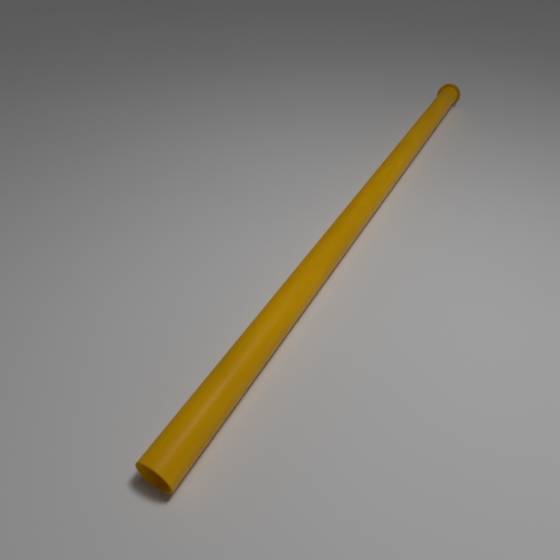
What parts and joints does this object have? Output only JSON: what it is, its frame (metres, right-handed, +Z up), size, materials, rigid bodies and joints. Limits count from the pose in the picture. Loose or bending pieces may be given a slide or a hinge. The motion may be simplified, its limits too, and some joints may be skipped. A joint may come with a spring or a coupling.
{
  "type": "avalanche probe",
  "caption": "Sectional avalanche probe stowed in its flanged plastic carrying tube; the sections slide out of the open mouth and screw together into one long pole.",
  "frame": {"origin": "on the carrying tube's axis, halfway between the mouth and the flange's outer face", "axes": "+X along the tube from its open mouth to its flange, +Z up as the tube lies on a table"},
  "size_m": [0.9302, 0.047, 0.047],
  "materials": {
    "case_plastic": "satin, slightly translucent",
    "plug_plastic": "satin",
    "pad_rubber": "matte",
    "shaft_aluminium": "satin anodised",
    "coupling_aluminium": "turned",
    "tip_steel": "turned",
    "cap_plastic": "matte"
  },
  "bodies": {
    "case": {"case_tube": "case_plastic", "end_plug": "plug_plastic", "shock_pad": "pad_rubber"},
    "tip_section": {"tip_shaft": "shaft_aluminium", "tip_point": "tip_steel", "tip_socket": "coupling_aluminium"},
    "lower_section": {"lower_shaft": "shaft_aluminium", "lower_stud": "coupling_aluminium", "lower_socket": "coupling_aluminium"},
    "upper_section": {"upper_shaft": "shaft_aluminium", "upper_stud": "coupling_aluminium", "upper_socket": "coupling_aluminium"},
    "top_section": {"top_shaft": "shaft_aluminium", "top_stud": "coupling_aluminium", "top_cap": "cap_plastic"}
  },
  "joints": [
    {"name": "tip_slide", "type": "slide", "parent": "case", "child": "tip_section", "axis": [-1, 0, 0], "range_m": [0, 0.858]},
    {"name": "lower_slide", "type": "slide", "parent": "case", "child": "lower_section", "axis": [-1, 0, 0], "range_m": [0, 0.858]},
    {"name": "upper_slide", "type": "slide", "parent": "case", "child": "upper_section", "axis": [-1, 0, 0], "range_m": [0, 0.858]},
    {"name": "top_slide", "type": "slide", "parent": "case", "child": "top_section", "axis": [-1, 0, 0], "range_m": [0, 0.858]}
  ]
}
